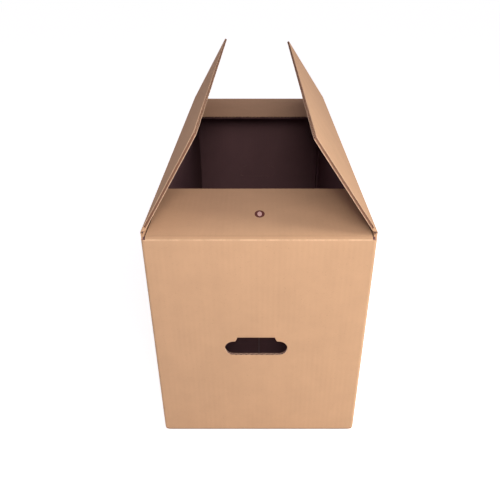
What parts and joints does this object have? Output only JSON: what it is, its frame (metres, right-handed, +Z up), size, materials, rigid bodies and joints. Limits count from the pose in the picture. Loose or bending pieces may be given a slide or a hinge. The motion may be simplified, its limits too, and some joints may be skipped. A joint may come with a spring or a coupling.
{
  "type": "corrugated carton",
  "caption": "Large slotted carton of brown corrugated board with hand holes, end flaps folded in and side flaps raised to lean inward over the open mouth.",
  "frame": {"origin": "on the floor under the middle of the carton's base", "axes": "+Z up; the front end panel, with the open hand hole, faces -Y; +X to the right seen from the front"},
  "size_m": [0.33, 0.74, 0.5405],
  "materials": {
    "kraft_board": "matte",
    "kraft_board_left_flap": "matte",
    "kraft_board_right_flap": "matte"
  },
  "bodies": {
    "carton": {"carton_body": "kraft_board"},
    "left_flap": {"left_top_flap": "kraft_board_left_flap"},
    "right_flap": {"right_top_flap": "kraft_board_right_flap"}
  },
  "joints": [
    {"name": "left_flap_crease", "type": "hinge", "parent": "carton", "child": "left_flap", "pos_m": [-0.165, 0, 0.3985], "axis": [0, -1, 0], "range_deg": [-59.8, 195]},
    {"name": "right_flap_crease", "type": "hinge", "parent": "carton", "child": "right_flap", "pos_m": [0.165, 0, 0.3985], "axis": [0, 1, 0], "range_deg": [-55.9, 199]}
  ]
}
